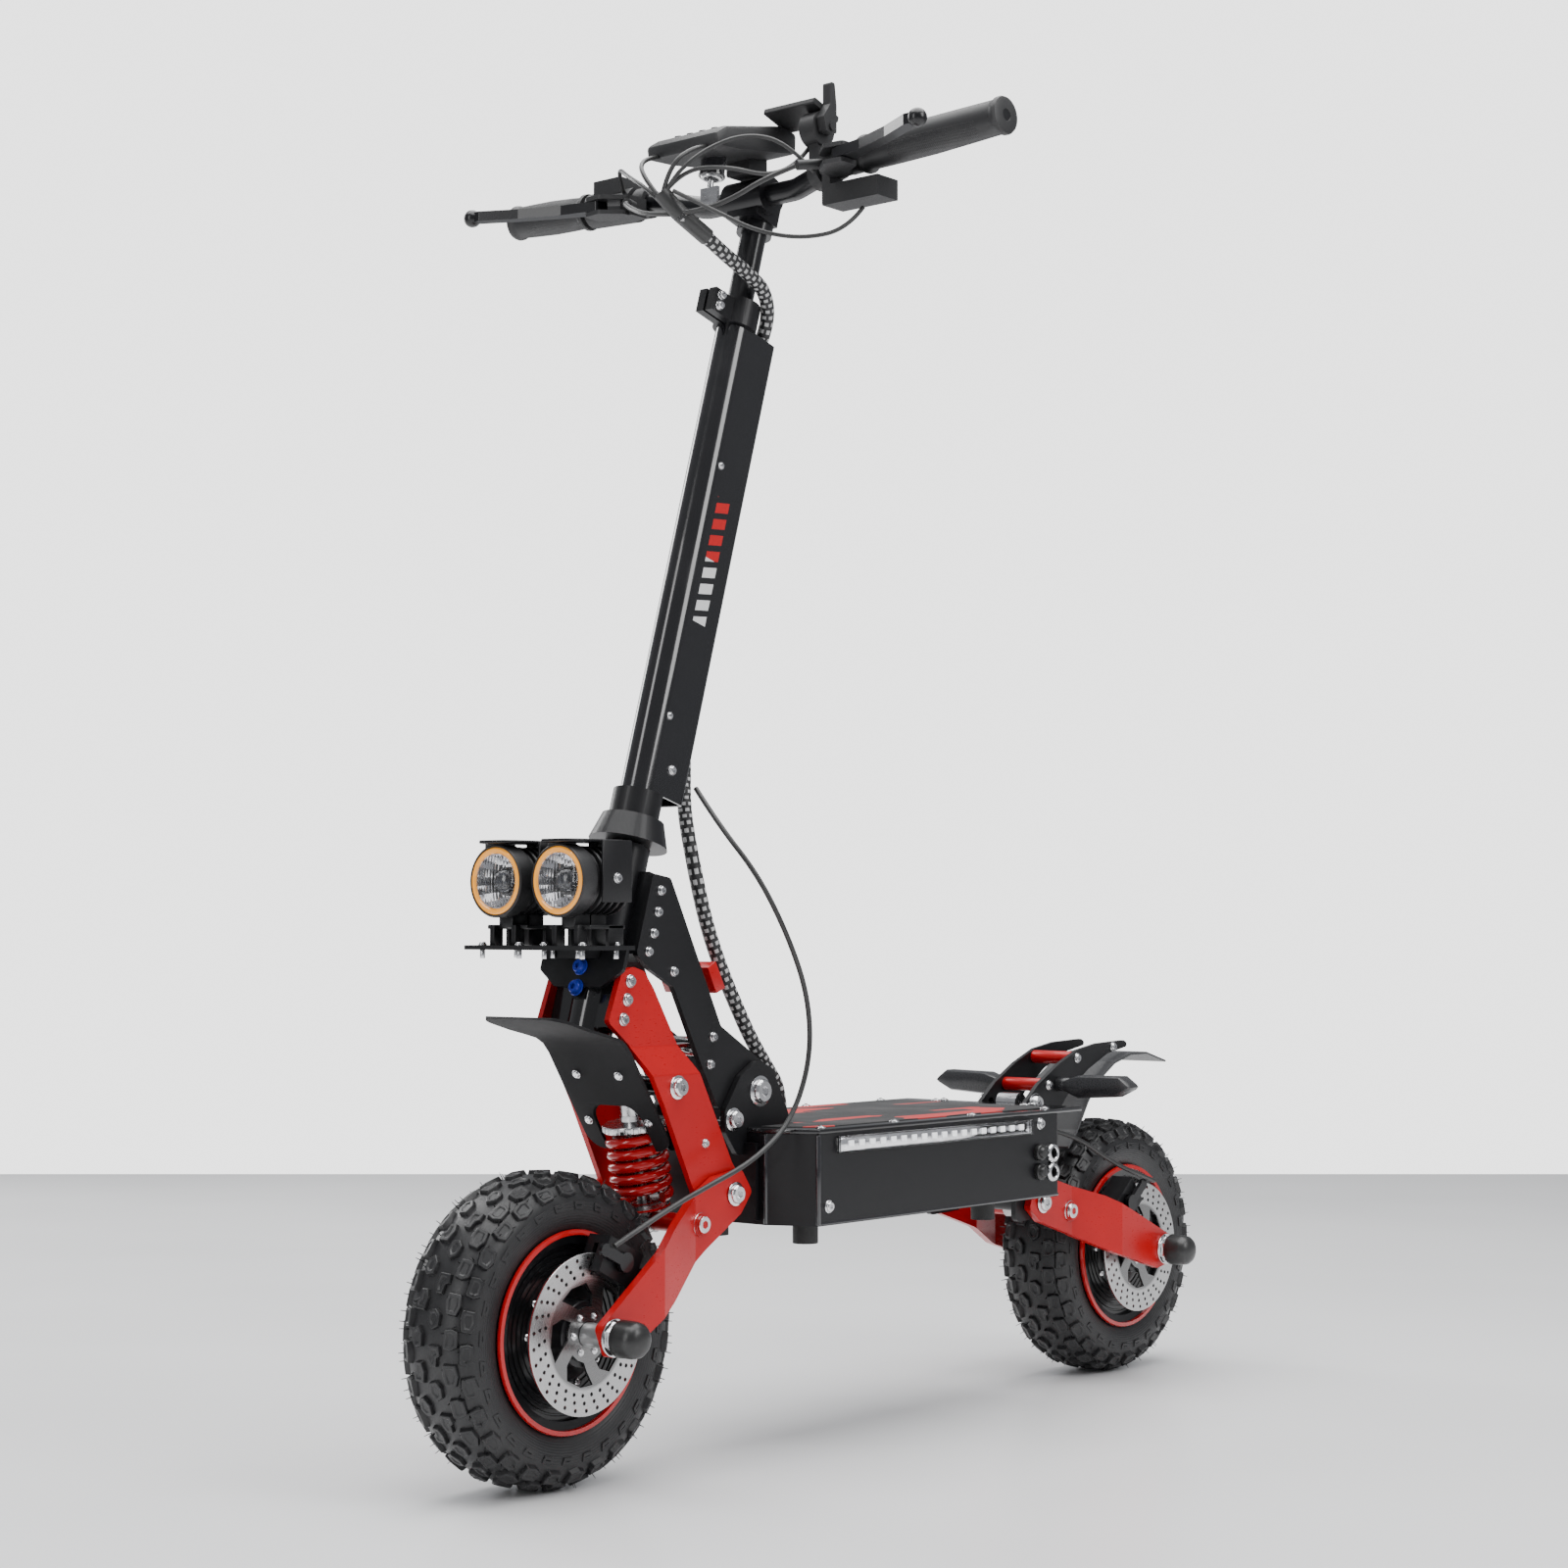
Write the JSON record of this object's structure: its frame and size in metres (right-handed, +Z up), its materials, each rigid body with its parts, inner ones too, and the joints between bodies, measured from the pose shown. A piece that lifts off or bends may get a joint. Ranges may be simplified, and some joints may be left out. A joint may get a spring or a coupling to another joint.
{
  "type": "electric kick scooter",
  "caption": "Off-road electric kick scooter with sprung swing arms, hub motors, disc brakes, twin headlamps, a folding neck and a height-adjustable stem.",
  "frame": {"origin": "on the ground, midway between the axles, on the middle plane", "axes": "+X forward, +Y to the rider's left, +Z up"},
  "size_m": [1.192, 0.6476, 1.3342],
  "materials": {
    "black_paint": "gloss",
    "black_matt": "matte",
    "red_anodised": "satin",
    "red_spring": "gloss",
    "steel": "satin",
    "chrome": "gloss",
    "rubber": "matte",
    "tyre": "matte",
    "plastic": "matte",
    "gloss_plastic": "gloss",
    "lens": "gloss",
    "battery": "matte",
    "alu": "satin",
    "black_alu": "matte"
  },
  "bodies": {
    "deck": {"deck_case": "black_alu", "deck_lid": "black_alu", "battery_pack": "battery", "motor_controllers": "alu", "hinge_bracket": "black_matt", "pivot_bolts": "chrome", "kick_bracket": "black_matt", "rear_mudguard": "plastic", "turn_signals": "plastic", "led_strips": "lens", "side_ports": "plastic", "rubber_feet": "rubber", "deck_screws": "chrome", "fold_harness": "rubber"},
    "neck": {"neck_plates": "black_alu", "head_tube": "black_paint", "headset_bearings": "steel", "neck_bolts": "chrome"},
    "steering": {"fork_column": "black_paint", "fork_plates": "red_anodised", "stem_column": "black_alu", "stem_collars": "black_matt", "steering_bolts": "chrome", "front_fender": "plastic", "headlight_bracket": "black_matt", "headlight_bodies": "black_matt", "headlight_lenses": "lens", "steer_harness": "rubber", "front_brake_line": "rubber"},
    "handlebar": {"inner_tube": "black_paint", "handlebar": "black_paint", "grips": "rubber", "display": "gloss_plastic", "bar_controls": "plastic", "bar_cables": "rubber"},
    "left_brake_lever": {"left_brake_lever": "black_matt"},
    "right_brake_lever": {"right_brake_lever": "black_matt"},
    "throttle_lever": {"throttle_lever": "plastic"},
    "ignition_key": {"ignition_key": "steel"},
    "horn_button": {"horn_button": "red_spring"},
    "mode_button": {"mode_button": "red_spring"},
    "front_arm": {"front_arms": "red_anodised", "front_caliper": "black_matt"},
    "front_wheel": {"front_tyre": "tyre", "front_hub": "black_alu", "front_disc": "steel"},
    "front_damper": {"front_shock_body": "alu", "front_spring": "red_spring"},
    "front_damper_rod": {"front_shock_rod": "steel"},
    "front_caliper_lever": {"front_caliper_lever": "steel"},
    "rear_arm": {"rear_arms": "red_anodised", "rear_caliper": "black_matt", "rear_brake_line": "rubber"},
    "rear_wheel": {"rear_tyre": "tyre", "rear_hub": "black_alu", "rear_disc": "steel"},
    "rear_damper": {"rear_shock_body": "alu", "rear_spring": "red_spring"},
    "rear_damper_rod": {"rear_shock_rod": "steel"},
    "rear_caliper_lever": {"rear_caliper_lever": "steel"}
  },
  "joints": [
    {"name": "fold", "type": "hinge", "parent": "deck", "child": "neck", "pos_m": [0.201, 0, 0.348], "axis": [0, -1, 0], "range_deg": [0, 73], "deforming": ["fold_harness"]},
    {"name": "steer", "type": "hinge", "parent": "neck", "child": "steering", "pos_m": [0.387, 0, 0.421], "axis": [-0.284, 0, 0.9588], "range_deg": [-35, 35], "deforming": ["steer_harness"]},
    {"name": "height", "type": "slide", "parent": "steering", "child": "handlebar", "axis": [-0.284, 0, 0.9588], "range_m": [-0.075, 0], "deforming": ["bar_cables"]},
    {"name": "left_brake", "type": "hinge", "parent": "handlebar", "child": "left_brake_lever", "pos_m": [0.21462, 0.16, 1.24377], "axis": [0, 0, 1], "range_deg": [0, 16], "stiffness_Nm_per_rad": 2, "springref_deg": -14.32},
    {"name": "right_brake", "type": "hinge", "parent": "handlebar", "child": "right_brake_lever", "pos_m": [0.21462, -0.16, 1.24377], "axis": [0, 0, -1], "range_deg": [0, 16], "stiffness_Nm_per_rad": 2, "springref_deg": -14.32},
    {"name": "throttle", "type": "hinge", "parent": "handlebar", "child": "throttle_lever", "pos_m": [0.16702, 0.105, 1.29017], "axis": [0, -1, 0], "range_deg": [0, 30], "stiffness_Nm_per_rad": 0.4, "springref_deg": -17.19},
    {"name": "key_turn", "type": "hinge", "parent": "handlebar", "child": "ignition_key", "pos_m": [0.21942, 0, 1.25377], "axis": [0.1537, 0, -0.9881], "range_deg": [0, 90]},
    {"name": "horn_press", "type": "slide", "parent": "handlebar", "child": "horn_button", "axis": [1, 0, 0], "range_m": [0, 0.0015], "stiffness_N_per_m": 600, "springref_m": -0.001},
    {"name": "mode_press", "type": "slide", "parent": "handlebar", "child": "mode_button", "axis": [1, 0, 0], "range_m": [0, 0.0015], "stiffness_N_per_m": 600, "springref_m": -0.001},
    {"name": "front_suspension", "type": "hinge", "parent": "steering", "child": "front_arm", "pos_m": [0.264, 0, 0.255], "axis": [0, -1, 0], "range_deg": [0, 8], "stiffness_Nm_per_rad": 260, "springref_deg": -16.04, "deforming": ["front_spring", "front_brake_line"]},
    {"name": "front_spin", "type": "hinge", "parent": "front_arm", "child": "front_wheel", "pos_m": [0.453, 0, 0.143], "axis": [0, 1, 0], "continuous": true},
    {"name": "front_damper_swing", "type": "hinge", "parent": "steering", "child": "front_damper", "pos_m": [0.335, 0, 0.358], "axis": [0, -1, 0], "range_deg": [-4, 4]},
    {"name": "front_damper_stroke", "type": "slide", "parent": "front_damper", "child": "front_damper_rod", "axis": [0.177, 0, 0.9842], "range_m": [0, 0.012], "deforming": ["front_spring"]},
    {"name": "front_brake_arm", "type": "hinge", "parent": "front_arm", "child": "front_caliper_lever", "pos_m": [0.42194, 0.076, 0.20568], "axis": [0, -1, 0], "range_deg": [0, 20]},
    {"name": "rear_suspension", "type": "hinge", "parent": "deck", "child": "rear_arm", "pos_m": [-0.244, 0, 0.209], "axis": [0, 1, 0], "range_deg": [0, 8], "stiffness_Nm_per_rad": 260, "springref_deg": -16.04, "deforming": ["rear_spring", "rear_brake_line"]},
    {"name": "rear_spin", "type": "hinge", "parent": "rear_arm", "child": "rear_wheel", "pos_m": [-0.453, 0, 0.143], "axis": [0, 1, 0], "continuous": true},
    {"name": "rear_damper_swing", "type": "hinge", "parent": "deck", "child": "rear_damper", "pos_m": [-0.284, 0, 0.312], "axis": [0, -1, 0], "range_deg": [-4, 4]},
    {"name": "rear_damper_stroke", "type": "slide", "parent": "rear_damper", "child": "rear_damper_rod", "axis": [0.1059, 0, 0.9944], "range_m": [0, 0.012], "deforming": ["rear_spring"]},
    {"name": "rear_brake_arm", "type": "hinge", "parent": "rear_arm", "child": "rear_caliper_lever", "pos_m": [-0.40852, 0.076, 0.19699], "axis": [0, 1, 0], "range_deg": [0, 20]}
  ],
  "couplings": [
    {"joint": "front_damper_swing", "follows": "front_suspension", "ratio": 0.10115},
    {"joint": "front_damper_stroke", "follows": "front_suspension", "m_per_rad": 0.052508},
    {"joint": "rear_damper_swing", "follows": "rear_suspension", "ratio": -0.13912},
    {"joint": "rear_damper_stroke", "follows": "rear_suspension", "m_per_rad": 0.051686},
    {"joint": "front_brake_arm", "follows": "right_brake", "ratio": 1.2},
    {"joint": "rear_brake_arm", "follows": "left_brake", "ratio": 1.2}
  ]
}
